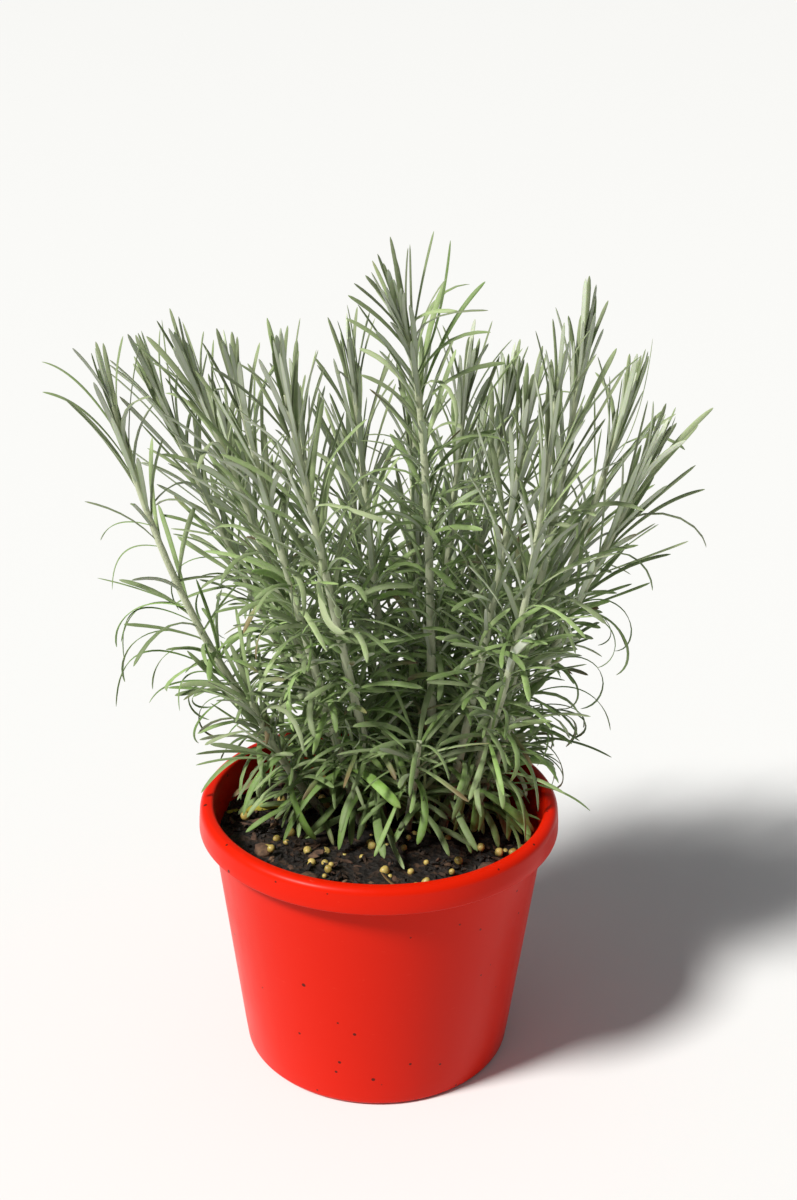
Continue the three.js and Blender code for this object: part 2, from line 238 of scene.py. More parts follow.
bm = bmesh.new()
bmesh.ops.create_circle(bm, cap_ends=True, segments=180, radius=1)
for _ in range(1, MIX_RINGS):
    outer = [f for f in bm.faces if len(f.verts) > 4]
    bmesh.ops.inset_region(bm, faces=outer, thickness=1 / MIX_RINGS, use_even_offset=True)
middle = [f for f in bm.faces if len(f.verts) > 4]
bmesh.ops.poke(bm, faces=middle)
for vert in bm.verts:
    across = vert.co.to_2d() * (wall_inside_radius(MIX_LEVEL) - MIX_CLEARANCE)
    height = mix_surface(across.x, across.y)
    across *= (wall_inside_radius(height) - MIX_CLEARANCE) / (wall_inside_radius(MIX_LEVEL) - MIX_CLEARANCE)
    vert.co = (across.x, across.y, height)
rim_loop = [e for e in bm.edges if e.is_boundary]
skirted = bmesh.ops.extrude_edge_only(bm, edges=rim_loop)
low = [v for v in skirted["geom"] if isinstance(v, bmesh.types.BMVert)]
for vert in low:
    vert.co *= (wall_inside_radius(6) - MIX_CLEARANCE) / vert.co.to_2d().length
    vert.co.z = RAISED + WALL + MIX_CLEARANCE
low_edges = [e for e in skirted["geom"] if isinstance(e, bmesh.types.BMEdge)]
bmesh.ops.contextual_create(bm, geom=low_edges)
bmesh.ops.recalc_face_normals(bm, faces=bm.faces)

compost, output = new_material("composted_bark_mix_damp")
# Damp and near black, with paler fibres and dry crumbs, and no shine but where a wet chip catches the light.
place = add_node(compost, "ShaderNodeTexCoord").outputs["Object"]
crumbs = add_node(compost, "ShaderNodeTexVoronoi", {"Vector": place, "Scale": 420.0}, feature="F1")
crumb_pick = add_node(compost, "ShaderNodeSeparateColor", {"Color": crumbs.outputs["Color"]})
clods = add_node(compost, "ShaderNodeTexNoise", {"Vector": place, "Scale": 240.0, "Detail": 6.0, "Roughness": 0.7})
lightness = add_node(compost, "ShaderNodeMath", {0: crumb_pick.outputs[0], 1: clods.outputs["Fac"]},
                     operation="MULTIPLY")
light_mask = add_node(compost, "ShaderNodeMapRange", {0: lightness.outputs[0], 1: 0.3, 2: 0.62, 3: 0.0, 4: 1.0})
earth = add_node(compost, "ShaderNodeMix", {0: light_mask.outputs[0], 6: linear(MIX_BROWN), 7: linear(MIX_LIGHT)},
                 data_type="RGBA")
height = add_node(compost, "ShaderNodeMath", {0: crumbs.outputs["Distance"], 1: clods.outputs["Fac"]},
                  operation="SUBTRACT")
bump = add_node(compost, "ShaderNodeBump", {"Height": height.outputs[0], "Strength": 0.9, "Distance": 0.0012})
damp = add_node(compost, "ShaderNodeMapRange", {0: clods.outputs["Fac"], 1: 0.35, 2: 0.65, 3: 0.6, 4: 0.95})
soil = add_node(compost, "ShaderNodeBsdfPrincipled", {
    "Base Color": earth.outputs[2], "Roughness": damp.outputs[0], "Normal": bump.outputs[0]})
compost.node_tree.links.new(soil.outputs[0], output.inputs[0])

make_piece("potting_mix_bed", bm, compost, ["potting_mix"], sharp=60)

# Crumbs and slivers of bark lie over the bed. They are pressed into it by half their thickness.
draw = random.Random(11)


def add_fragment(bm, at, size, turn, detail, roughness):
    """Adds a rough lump: a faceted ball, squashed to a size, broken by noise and turned."""
    made = bmesh.ops.create_icosphere(bm, subdivisions=detail, radius=0.5)["verts"]
    key = Vector(at) * 3.1
    for vert in made:
        vert.co *= 1 + roughness * noise.noise(vert.co * 2.3 + key)
        vert.co = Vector((vert.co.x * size[0], vert.co.y * size[1], vert.co.z * size[2]))
        vert.co = turn @ vert.co + Vector(at)
    return made


def loose_turn(lie):
    """A random heading, tipped from level by up to lie radians."""
    heading = Quaternion((0, 0, 1), draw.uniform(0, 2 * math.pi))
    return heading @ Quaternion((1, 0, 0), draw.uniform(-lie, lie)) @ Quaternion((0, 1, 0), draw.uniform(-lie, lie))


def scatter_place(most=1.0):
    """A place on the mix, even over its area, inside the pot's wall."""
    reach = (wall_inside_radius(MIX_LEVEL) - 2.5) * most * math.sqrt(draw.random())
    angle = draw.uniform(0, 2 * math.pi)
    return reach * math.cos(angle), reach * math.sin(angle)


bm = bmesh.new()
for i in range(CRUMBS):
    x, y = scatter_place()
    grain = draw.uniform(0.8, 2.4)
    size = (grain * draw.uniform(1.0, 2.2), grain, grain * draw.uniform(0.5, 0.9))
    add_fragment(bm, (x, y, mix_surface(x, y) + 0.1 * grain), size, loose_turn(0.6), 1, 0.9)
make_piece("mix_crumbs", bm, compost, sharp=25)

bark, output = new_material("composted_pine_bark")
# Pine bark in flakes: brown outside and paler where it has split along the grain, dull and dry. The low parts of the
# grain relief are darkened towards the mix's brown as painted shade.
place = add_node(bark, "ShaderNodeTexCoord").outputs["Object"]
grain_noise = add_node(bark, "ShaderNodeTexNoise",
                       {"Vector": place, "Scale": 420.0, "Detail": 5.0, "Roughness": 0.65})
split = add_node(bark, "ShaderNodeTexNoise", {"Vector": place, "Scale": 90.0, "Detail": 2.0})
split_mask = add_node(bark, "ShaderNodeMapRange", {0: split.outputs["Fac"], 1: 0.5, 2: 0.75, 3: 0.0, 4: 0.8})
flake = add_node(bark, "ShaderNodeMix", {0: split_mask.outputs[0], 6: linear(BARK_BROWN), 7: linear(BARK_PALE)},
                 data_type="RGBA")
# Painted shade: the bark is darkened towards the mix's brown where the grain relief is low.
shadow = add_node(bark, "ShaderNodeMapRange", {0: grain_noise.outputs["Fac"], 1: 0.3, 2: 0.6, 3: 0.75, 4: 0.0})
hollow_shaded_flake = add_node(bark, "ShaderNodeMix", {0: shadow.outputs[0], 6: flake.outputs[2], 7: linear(MIX_BROWN)},
                  data_type="RGBA")
bump = add_node(bark, "ShaderNodeBump", {"Height": grain_noise.outputs["Fac"], "Strength": 0.8, "Distance": 0.0006})
wood = add_node(bark, "ShaderNodeBsdfPrincipled", {
    "Base Color": hollow_shaded_flake.outputs[2], "Roughness": 0.85, "Normal": bump.outputs[0]})
bark.node_tree.links.new(wood.outputs[0], output.inputs[0])

bm = bmesh.new()
for i in range(SLIVERS):
    x, y = scatter_place()
    long = draw.uniform(2.5, 6.5)
    size = (long, long * draw.uniform(0.25, 0.5), draw.uniform(0.7, 1.5))
    add_fragment(bm, (x, y, mix_surface(x, y) + 0.5), size, loose_turn(0.35), 2, 0.7)
make_piece("bark_slivers", bm, bark, sharp=30)

# The larger chips sit where the CAD has them.
chip_nodes = [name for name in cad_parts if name.startswith("bark_chip")]
for name in sorted(chip_nodes):
    low_corner, high_corner = (Vector(corner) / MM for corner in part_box(name))
    centre = (low_corner + high_corner) / 2
    source = bmesh.new()
    source.from_mesh(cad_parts[name].data)
    bmesh.ops.scale(source, verts=source.verts, vec=(1 / MM, 1 / MM, 1 / MM))
    bmesh.ops.remove_doubles(source, verts=source.verts, dist=0.01)
    bmesh.ops.subdivide_edges(source, edges=source.edges, cuts=3, use_grid_fill=True, smooth=0.4)
    for vert in source.verts:
        vert.co = centre + (vert.co - centre) * (1 + 0.22 * noise.noise(vert.co * 0.45))
        vert.co.z -= 0.8
    bmesh.ops.recalc_face_normals(source, faces=source.faces)
    make_piece(name + "_rough", source, bark, [name], sharp=30)

# ---- Fertiliser beads ----
# Slow-release fertiliser: prills in a thin resin coat, yellow to tan, some with a green cast. They lie where the CAD
# has them, with more of them half sunk in the mix.

BEAD_PALE = "c6b166"
BEAD_TAN = "93803c"
LOOSE_BEADS = 90

resin, output = new_material("resin_coated_prill")
# A thin resin skin over a pale salt grain: satin, mottled, and each bead a shade of its own.
place = add_node(resin, "ShaderNodeTexCoord").outputs["Object"]
tone = add_node(resin, "ShaderNodeAttribute", attribute_name="tone").outputs["Fac"]
mottle = add_node(resin, "ShaderNodeTexNoise", {"Vector": place, "Scale": 900.0, "Detail": 3.0})
blend = add_node(resin, "ShaderNodeMath", {0: tone, 1: mottle.outputs["Fac"]}, operation="MULTIPLY")
shade = add_node(resin, "ShaderNodeMapRange", {0: blend.outputs[0], 1: 0.0, 2: 0.6, 3: 0.0, 4: 1.0})
skin = add_node(resin, "ShaderNodeMix", {0: shade.outputs[0], 6: linear(BEAD_PALE), 7: linear(BEAD_TAN)},
                data_type="RGBA")
bump = add_node(resin, "ShaderNodeBump", {"Height": mottle.outputs["Fac"], "Strength": 0.4, "Distance": 0.0002})
coat = add_node(resin, "ShaderNodeBsdfPrincipled", {
    "Base Color": skin.outputs[2], "Roughness": 0.42, "Normal": bump.outputs[0], "Subsurface Weight": 0.15,
    "Subsurface Scale": 0.001})
resin.node_tree.links.new(coat.outputs[0], output.inputs[0])

bm = bmesh.new()
tone_layer = bm.verts.layers.float.new("tone")
bead_nodes = sorted(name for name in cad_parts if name.startswith("fertiliser_bead"))


def add_bead(centre, radius):
    """Adds one slightly uneven bead."""
    made = bmesh.ops.create_uvsphere(bm, u_segments=14, v_segments=9, radius=radius)["verts"]
    shade_of_bead = draw.random()
    for vert in made:
        vert.co *= 1 + 0.2 * noise.noise(vert.co * 0.5 + centre)
        vert.co += centre
        vert[tone_layer] = shade_of_bead


for name in bead_nodes:
    low_corner, high_corner = (Vector(corner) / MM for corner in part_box(name))
    add_bead((low_corner + high_corner) / 2, (high_corner - low_corner).x / 2)
for i in range(LOOSE_BEADS):
    x, y = scatter_place()
    radius = draw.uniform(0.9, 1.9)
    add_bead(Vector((x, y, mix_surface(x, y) + draw.uniform(0.1, 0.9) * radius)), radius)
make_piece("fertiliser_beads", bm, resin, bead_nodes, sharp=80)

# ---- Shoots ----
# Each shoot is a woody stem, white with felt, and the narrow leaves that grew from it in a spiral. The leaves' edges
# roll under. Young leaves near the tip stand up close together; old ones spread, droop, green up and dry at the tip.

STEM_FOOT_RADIUS = 2.0
STEM_TIP_RADIUS = 1.0
STEM_BURIED = 12.0
STEM_BARE = 5.0
STEM_SIDES = 10
STEM_RINGS = 56
CROWN = Vector((10, 24, 0))
LEAF_LENGTH = 45.0
LEAF_WIDTH = 2.0
LEAF_SPACING = 2.2
LEAF_TURN = math.radians(137.5)
LEAF_CROWDING = 1.15
YOUNG_SPREAD = 6
OLD_SPREAD = 66
OLD_SHORTENING = 0.47
CURLED_SHARE = 0.18
SHADED_AGE = 0.72
TUFT_REACH = 0.5
TUFT_SPACING = 7.0
TUFT_LEAVES = 6
BASAL_LEAVES = 3

# Foot (x, y), tip (x, y, z) and arch of each shoot, as the CAD has them, in millimetres. With an arch above 0 a shoot
# leaves the mix outwards and turns up, and with one below 0 it rises first.
SHOOTS = {
    "shoot_front_left_outer": ((-17, 27), (-94, -10, 263), 0.19),
    "shoot_left_rear": ((-9, 36), (-81, 16, 259), 0.03),
    "shoot_left_middle": ((-10, 18), (-64, -15, 272), -0.04),
    "shoot_front": ((2, 12), (-31, -45, 277), 0.02),
    "shoot_front_left_inner": ((-7, 8), (-47, -32, 270), 0.02),
    "shoot_tallest": ((21, 16), (7, -13, 293), -0.34),
    "shoot_centre_rear": ((7, 33), (-11, 22, 264), 0.0),
    "shoot_right_rear_inner": ((16, 38), (30, 30, 260), 0.06),
    "shoot_right_rear_outer": ((22, 44), (47, 50, 250), 0.02),
    "shoot_right_front": ((27, 20), (59, -22, 271), 0.26),
    "shoot_right": ((32, 27), (69, -4, 283), 0.21),
    "shoot_right_outer": ((37, 33), (95, 6, 238), 0.02),
    "shoot_right_rear": ((30, 39), (90, 38, 248), 0.12),
    "shoot_right_inner": ((25, 8), (50, -12, 259), 0.06),
    "shoot_rear_left": ((0, 42), (-34, 62, 238), 0.1),
    "shoot_rear": ((9, 44), (12, 68, 244), 0.1),
    "shoot_rear_right": ((17, 51), (38, 76, 224), 0.1),
    "shoot_rear_left_outer": ((-12, 44), (-62, 64, 228), 0.1),
    "shoot_rear_outer": ((4, 52), (-14, 78, 216), 0.1),
    "shoot_short_rear": ((13, 27), (14, 36, 200), 0.04),
    "shoot_short_front": ((11, 5), (15, -13, 136), 0.05),
    "shoot_short_left": ((-20, 12), (-48, -10, 150), 0.1),
    "shoot_short_right": ((35, 18), (50, 0, 138), 0.1),
    "shoot_short_rear_right": ((28, 48), (73, 60, 184), -0.15),
}

# How many thread-like old leaves the outer shoots carry.
HOOKED = {"shoot_front_left_outer": 9, "shoot_left_rear": 8, "shoot_rear_left_outer": 6, "shoot_right_outer": 14,
          "shoot_right_rear": 8, "shoot_short_right": 4}

# How much of its older foliage a starved shoot has kept.
FULLNESS = {"shoot_front_left_outer": 0.25, "shoot_left_rear": 0.6, "shoot_right_outer": 0.3, "shoot_right_rear": 0.5,
            "shoot_rear_left_outer": 0.6, "shoot_short_right": 0.3, "shoot_right": 0.8, "shoot_right_front": 0.8,
            "shoot_right_inner": 0.75}

# Short shoots in the shade are lax: even their youngest leaves spread and droop as if they were this old.
LAX = {"shoot_short_front": 0.5, "shoot_short_left": 0.3, "shoot_short_right": 0.45}

LEAF_GREEN = "6a8c3a"
LEAF_SILVER = "8e9974"
FELT_WHITE = "c9cfc0"
LEAF_DRY = "6a5a38"
STEM_FELT = "c0c6a6"
STEM_WOOD = "6e624c"

# Single leaves that stand out from the rest: those that hang over the rim or down to the mix, and some that strike
# out to the side. Each has the share of the shoot that it grows at, its control and end points, its width and how
# felted it is.
LONE_LEAVES = {
    "shoot_front_left_outer": [
        (0.47, (-99, 5, 180), (-101, 1, 142), 1.3, 0.1), (0.60, (-99, -2, 196), (-96, -4, 164), 1.2, 0.2),
        (0.64, (-94, 4, 189), (-99, 8, 166), 1.1, 0.3), (0.76, (-98, -4, 213), (-99, -4, 192), 1.1, 0.4),
        (0.80, (-99, 1, 220), (-104, 5, 208), 1.1, 0.4), (0.45, (-83, 11, 153), (-90, 11, 139), 1.2, 0.2),
        (0.47, (-79, 0, 164), (-76, -4, 143), 1.1, 0.2), (0.63, (-86, 0, 191), (-105, 0, 195), 1.0, 0.5),
        (0.90, (-102, -11, 266), (-117, -15, 269), 1.4, 0.8), (0.94, (-106, -2, 274), (-120, 0, 276), 1.2, 0.7)],
    "shoot_left_rear": [(0.78, (-77, 14, 233), (-89, 12, 236), 2.4, 1.3)],
    "shoot_left_middle": [(0.21, (-54, 4, 131), (-69, -4, 108), 2.9, 0.3)],
    "shoot_front_left_inner": [(0.27, (-47, -9, 132), (-51, -21, 108), 3.0, 0.2)],
    "shoot_front": [
        (0.19, (-25, -7, 124), (-36, -21, 97), 3.8, 0.1), (0.14, (-13, -8, 114), (-15, -20, 93), 3.6, 0.1),
        (0.14, (-3, -4, 108), (-8, -14, 94), 2.6, 0.3), (0.12, (3, -14, 96), (10, -30, 91), 1.9, 0.7),
        (0.69, (-23, -38, 192), (-12, -42, 192), 2.8, 1.4)],
    "shoot_right_inner": [
        (0.17, (14, -6, 112), (5, -18, 93), 3.4, 0.3), (0.21, (37, -4, 117), (29, -12, 97), 3.0, 0.2)],
    "shoot_right_front": [
        (0.35, (60, -7, 136), (61, -13, 107), 2.8, 0.4), (0.26, (57, -5, 124), (56, -19, 97), 1.6, 0.5),
        (0.55, (46, -15, 174), (56, -21, 184), 3.0, 1.4)],
    "shoot_right_outer": [
        (0.25, (72, 25, 124), (93, 23, 112), 1.7, 0.5), (0.81, (101, 11, 244), (119, 11, 260), 2.0, 1.0),
        (0.77, (100, 16, 223), (120, 18, 227), 1.6, 1.2), (0.72, (96, 9, 202), (113, 5, 211), 1.5, 1.2)],
    "shoot_right_rear": [(0.90, (97, 34, 241), (99, 34, 280), 1.2, 1.0)],
    "shoot_tallest": [(0.80, (20, -8, 291), (22, -12, 322), 2.0, 0.3), (0.73, (21, 3, 292), (35, 7, 305), 1.8, 0.3)],
}


class Bow:
    """A quadratic curve through space, from start towards control and on to end."""

    def __init__(self, start, control, end):
        self.points = start, control, end

    def at(self, t):
        start, control, end = self.points
        return start * (1 - t) ** 2 + control * 2 * t * (1 - t) + end * t * t

    def heading(self, t):
        start, control, end = self.points
        return ((control - start) * (1 - t) + (end - control) * t).normalized()

    def length(self):
        stops = [self.at(i / 60) for i in range(61)]
        return sum((b - a).length for a, b in zip(stops, stops[1:]))

    def share_at(self, distance):
        """The share of the line that lies within a distance of its start."""
        covered = 0.0
        for i in range(200):
            covered += (self.at((i + 1) / 200) - self.at(i / 200)).length
            if covered >= distance:
                return (i + 1) / 200
        return 1.0


class Curl:
    """A leaf's line: it sets off in one direction and turns about an axis, by more and more towards its tip."""

    STEPS = 24

    def __init__(self, base, direction, axis, length, bend, ease):
        self.stops = [base.copy()]
        self.headings = [direction.copy()]
        for i in range(1, self.STEPS + 1):
            turned = Quaternion(axis, bend * (i / self.STEPS) ** ease) @ direction
            self.headings.append(turned)
            self.stops.append(self.stops[-1] + turned * length / self.STEPS)

    def between(self, values, t):
        place = min(max(t, 0.0), 1.0) * self.STEPS
        low = min(int(place), self.STEPS - 1)
        return values[low].lerp(values[low + 1], place - low)

    def at(self, t):
        return self.between(self.stops, t)

    def heading(self, t):
        return self.between(self.headings, t).normalized()


def chance(a, b):
    """A steady stand-in for chance, from 0 to 1: the same as the CAD's, so that leaves fall in the same places."""
    wave = math.sin(a * 12.9898 + b * 78.233) * 43758.5453
    return wave - math.floor(wave)


def stem_line(foot, tip, arch):
    """A shoot's line from its buried foot to its growing tip."""
    ground = Vector((*foot, mix_top(*foot)))
    end = Vector(tip)
    control = Vector((ground.x + (end.x - ground.x) * (0.5 + arch),
                      ground.y + (end.y - ground.y) * (0.5 + arch),
                      ground.z + (end.z - ground.z) * (0.5 - arch)))
    start = ground - (control - ground).normalized() * STEM_BURIED
    return Bow(start, control, end)


def add_stem(bm, line):
    """Adds a tapered stem with the low knuckles that fallen leaves leave on it."""
    ring = bmesh.ops.create_circle(bm, cap_ends=True, segments=STEM_SIDES, radius=1)["verts"]
    edges = list({edge for vert in ring for edge in vert.link_edges})
    for step in range(STEM_RINGS + 1):
        t = step / STEM_RINGS
        along = line.heading(t)
        across = Vector((1, 0, 0)).cross(along).normalized()
        radius = STEM_FOOT_RADIUS + (STEM_TIP_RADIUS - STEM_FOOT_RADIUS) * t
        if step:
            grown = bmesh.ops.extrude_edge_only(bm, edges=edges)["geom"]
            ring = [part for part in grown if isinstance(part, bmesh.types.BMVert)]
            edges = [part for part in grown if isinstance(part, bmesh.types.BMEdge) and
                     all(vert in ring for vert in part.verts)]
        for i, vert in enumerate(ring):
            angle = 2 * math.pi * i / STEM_SIDES
            spot = Vector((3 * math.cos(angle), 3 * math.sin(angle), t * 60)) + line.points[0]
            knuckle = 1 + 0.16 * noise.noise(spot)
            outwards = across * math.cos(angle) + along.cross(across) * math.sin(angle)
            vert.co = line.at(t) + outwards * radius * knuckle
    bmesh.ops.contextual_create(bm, geom=edges)
    bmesh.ops.recalc_face_normals(bm, faces=bm.faces)


# A leaf is bent from a blank: a section with its edges rolled under, drawn out and closed at both ends.
LEAF_SECTION = [(-1.0, -0.12), (-0.62, 0.3), (0.0, 0.2), (0.62, 0.3), (1.0, -0.12), (0.6, -0.36), (0.0, -0.1),
                (-0.6, -0.36)]


def leaf_blank(name, stations):
    """A straight leaf of unit half width along +Z, with a ring of points at each station: its mesh and its points."""
    bm = bmesh.new()
    ring = bmesh.ops.create_circle(bm, cap_ends=True, segments=len(LEAF_SECTION), radius=1)["verts"]
    for vert, (x, y) in zip(ring, LEAF_SECTION):
        vert.co = (x, y, 0)
    edges = list({edge for vert in ring for edge in vert.link_edges})
    for low_station, high_station in zip(stations, stations[1:]):
        grown = bmesh.ops.extrude_edge_only(bm, edges=edges)["geom"]
        ring = [part for part in grown if isinstance(part, bmesh.types.BMVert)]
        edges = [part for part in grown if isinstance(part, bmesh.types.BMEdge) and
                 all(vert in ring for vert in part.verts)]
        bmesh.ops.translate(bm, verts=ring, vec=(0, 0, high_station - low_station))
    bmesh.ops.contextual_create(bm, geom=edges)
    bmesh.ops.recalc_face_normals(bm, faces=bm.faces)
    blank = bpy.data.meshes.new(name)
    bm.to_mesh(blank)
    bm.free()
    return blank, [vert.co.copy() for vert in blank.vertices]


BLANK = leaf_blank("blank", [0.0, 0.12, 0.27, 0.43, 0.59, 0.74, 0.87, 0.96, 1.0])
FINE_BLANK = leaf_blank("fine_blank", [i / 18 for i in range(18)] + [0.98, 1.0])


def leaf_outline(share, spoon):
    """A leaf's half width along its length, as a share of its widest: a narrow foot, and a blunt tip."""
    foot = 0.5 + 0.5 * min(1.0, share / (0.3 + 0.35 * spoon))
    tip = math.sqrt(max(0.0, 1 - max(0.0, (share - 0.8) / 0.2) ** 2.2))
    return foot * max(tip, 0.16)


def clears_pot(point):
    """Whether a point is clear of the mix, the pot's wall and its rim."""
    reach = point.to_2d().length
    if reach < BODY_TOP_RADIUS - 2:
        return point.z > mix_top(point.x, point.y) + 1.6
    if reach < RIM_RADIUS + 1.5:
        return point.z > POT_HEIGHT + 1.2
    return True


def radial(along, angle):
    """A direction square to a stem, at an angle round it."""
    return Quaternion(along, angle) @ Vector((1, 0, 0)).cross(along).normalized()


def outwardness(place, way):
    """How far a direction points out of the plant at a place, from -1 to 1."""
    return way.dot(((place - CROWN) * Vector((1, 1, 0))).normalized())


def add_leaf(bm, layers, line, side, half_width, twist, spoon, felt, dry, tone, blank=BLANK):
    """Adds a leaf bent along a line, and writes on it how felted, how dry and how light it is."""
    before = len(bm.verts)
    mesh, points = blank
    bm.from_mesh(mesh)
    bm.verts.ensure_lookup_table()
    for i, point in enumerate(points):
        vert = bm.verts[before + i]
        centre = line.at(point.z)
        along = line.heading(point.z)
        across = Quaternion(along, twist * point.z) @ (side - along * side.dot(along)).normalized()
        up = along.cross(across)
        width = half_width * leaf_outline(point.z, spoon)
        vert.co = centre + across * point.x * width + up * point.y * min(width, half_width * 0.8)
        vert[layers["felt"]] = felt
        vert[layers["dry"]] = max(0.0, min(1.0, dry * 2.2 - (1 - point.z) * 2.4))
        vert[layers["tone"]] = tone
        vert[layers["under"]] = (0.3 + 0.7 * felt) if abs(point.x) < 0.8 and point.y < 0 else 0.0


def grow_leaf(bm, layers, root, along, out, spread, length, width, age, droop, hook=False):
    """Grows a leaf from a place on a stem, and lifts it where it would run into the mix or the pot."""
    side = along.cross(out).normalized()
    down = Vector((0, 0, -1))
    for lift in range(20):
        first = along * math.cos(spread) + out * math.sin(spread)
        axis = first.cross(down)
        axis = (axis * age + side * (1 - age) * 0.6 + down * draw.uniform(-0.5, 0.5)).normalized()
        line = Curl(root, first, axis, length, droop, 1.5 if hook else 1.1)
        if all(clears_pot(line.at(share)) for share in (0.35, 0.5, 0.65, 0.8, 0.9, 1.0)):
            break
        spread *= 0.92
        droop *= 0.86
    else:
        return
    felt = min(1.0, max(0.1, 1.0 - 0.82 * age + draw.uniform(-0.22, 0.22)))
    dry = max(0.0, draw.uniform(-4.5, 0.7)) * min(1.0, age * 1.8)
    add_leaf(bm, layers, line, side, width / 2, draw.uniform(-0.7, 0.7), min(1.0, 1.4 * age), felt, dry,
             draw.uniform(0.7, 1.15) if draw.random() > 0.15 else draw.uniform(1.2, 1.5),
             FINE_BLANK if hook else BLANK)


felted, output = new_material("felted_leaf")
# A living leaf under white felt: the felt scatters light to silver, thickest on young leaves and underneath, and the
# green shows through where it has worn off. Old leaves dry to brown from the tip.
place = add_node(felted, "ShaderNodeTexCoord").outputs["Object"]
felt_amount = add_node(felted, "ShaderNodeAttribute", attribute_name="felt").outputs["Fac"]
dryness = add_node(felted, "ShaderNodeAttribute", attribute_name="dry").outputs["Fac"]
tone = add_node(felted, "ShaderNodeAttribute", attribute_name="tone").outputs["Fac"]
underside = add_node(felted, "ShaderNodeAttribute", attribute_name="under").outputs["Fac"]
patchy = add_node(felted, "ShaderNodeTexNoise", {"Vector": place, "Scale": 520.0, "Detail": 4.0, "Roughness": 0.6})
worn_felt = add_node(felted, "ShaderNodeMapRange", {0: patchy.outputs["Fac"], 1: 0.3, 2: 0.7, 3: -0.22, 4: 0.22})
coverage = add_node(felted, "ShaderNodeMath", {0: felt_amount, 1: worn_felt.outputs[0]}, operation="ADD",
                    use_clamp=True)
leaf_colour = add_node(felted, "ShaderNodeMix", {0: coverage.outputs[0], 6: linear(LEAF_GREEN),
                                                 7: linear(LEAF_SILVER)}, data_type="RGBA")
under_mask = add_node(felted, "ShaderNodeMath", {0: underside, 1: 0.7}, operation="MULTIPLY")
backed = add_node(felted, "ShaderNodeMix", {0: under_mask.outputs[0], 6: leaf_colour.outputs[2],
                                            7: linear(FELT_WHITE)}, data_type="RGBA")
dried = add_node(felted, "ShaderNodeMix", {0: dryness, 6: backed.outputs[2], 7: linear(LEAF_DRY)}, data_type="RGBA")
toned = add_node(felted, "ShaderNodeHueSaturation", {"Color": dried.outputs[2], "Value": tone})
fuzz = add_node(felted, "ShaderNodeTexNoise", {"Vector": place, "Scale": 2600.0, "Detail": 2.0})
bump = add_node(felted, "ShaderNodeBump", {"Height": fuzz.outputs["Fac"], "Strength": 0.35, "Distance": 0.0002})
blade = add_node(felted, "ShaderNodeBsdfPrincipled", {
    "Base Color": toned.outputs[0], "Roughness": 0.62, "Normal": bump.outputs[0], "Sheen Weight": 0.12,
    "Sheen Roughness": 0.5, "Subsurface Weight": 0.12, "Subsurface Radius": (0.6, 1.0, 0.3),
    "Subsurface Scale": 0.001})
felted.node_tree.links.new(blade.outputs[0], output.inputs[0])

woolly, output = new_material("woolly_stem")
# A young stem wrapped in white wool, worn through to grey-brown wood low down.
place = add_node(woolly, "ShaderNodeTexCoord").outputs["Object"]
high = add_node(woolly, "ShaderNodeSeparateXYZ", {0: place})
wood_mask = add_node(woolly, "ShaderNodeMapRange", {0: high.outputs[2], 1: 0.092, 2: 0.135, 3: 0.75, 4: 0.0})
wool_noise = add_node(woolly, "ShaderNodeTexNoise", {"Vector": place, "Scale": 700.0, "Detail": 4.0})
wood_patch = add_node(woolly, "ShaderNodeMath", {0: wood_mask.outputs[0], 1: wool_noise.outputs["Fac"]},
                      operation="MULTIPLY")
wood_level = add_node(woolly, "ShaderNodeMapRange", {0: wood_patch.outputs[0], 1: 0.1, 2: 0.45, 3: 0.0, 4: 0.9})
stem_colour = add_node(woolly, "ShaderNodeMix", {0: wood_level.outputs[0], 6: linear(STEM_FELT),
                                                 7: linear(STEM_WOOD)}, data_type="RGBA")
bump = add_node(woolly, "ShaderNodeBump", {"Height": wool_noise.outputs["Fac"], "Strength": 0.6, "Distance": 0.0005})
stem_skin = add_node(woolly, "ShaderNodeBsdfPrincipled", {
    "Base Color": stem_colour.outputs[2], "Roughness": 0.8, "Normal": bump.outputs[0], "Sheen Weight": 0.3,
    "Sheen Roughness": 0.5})
woolly.node_tree.links.new(stem_skin.outputs[0], output.inputs[0])

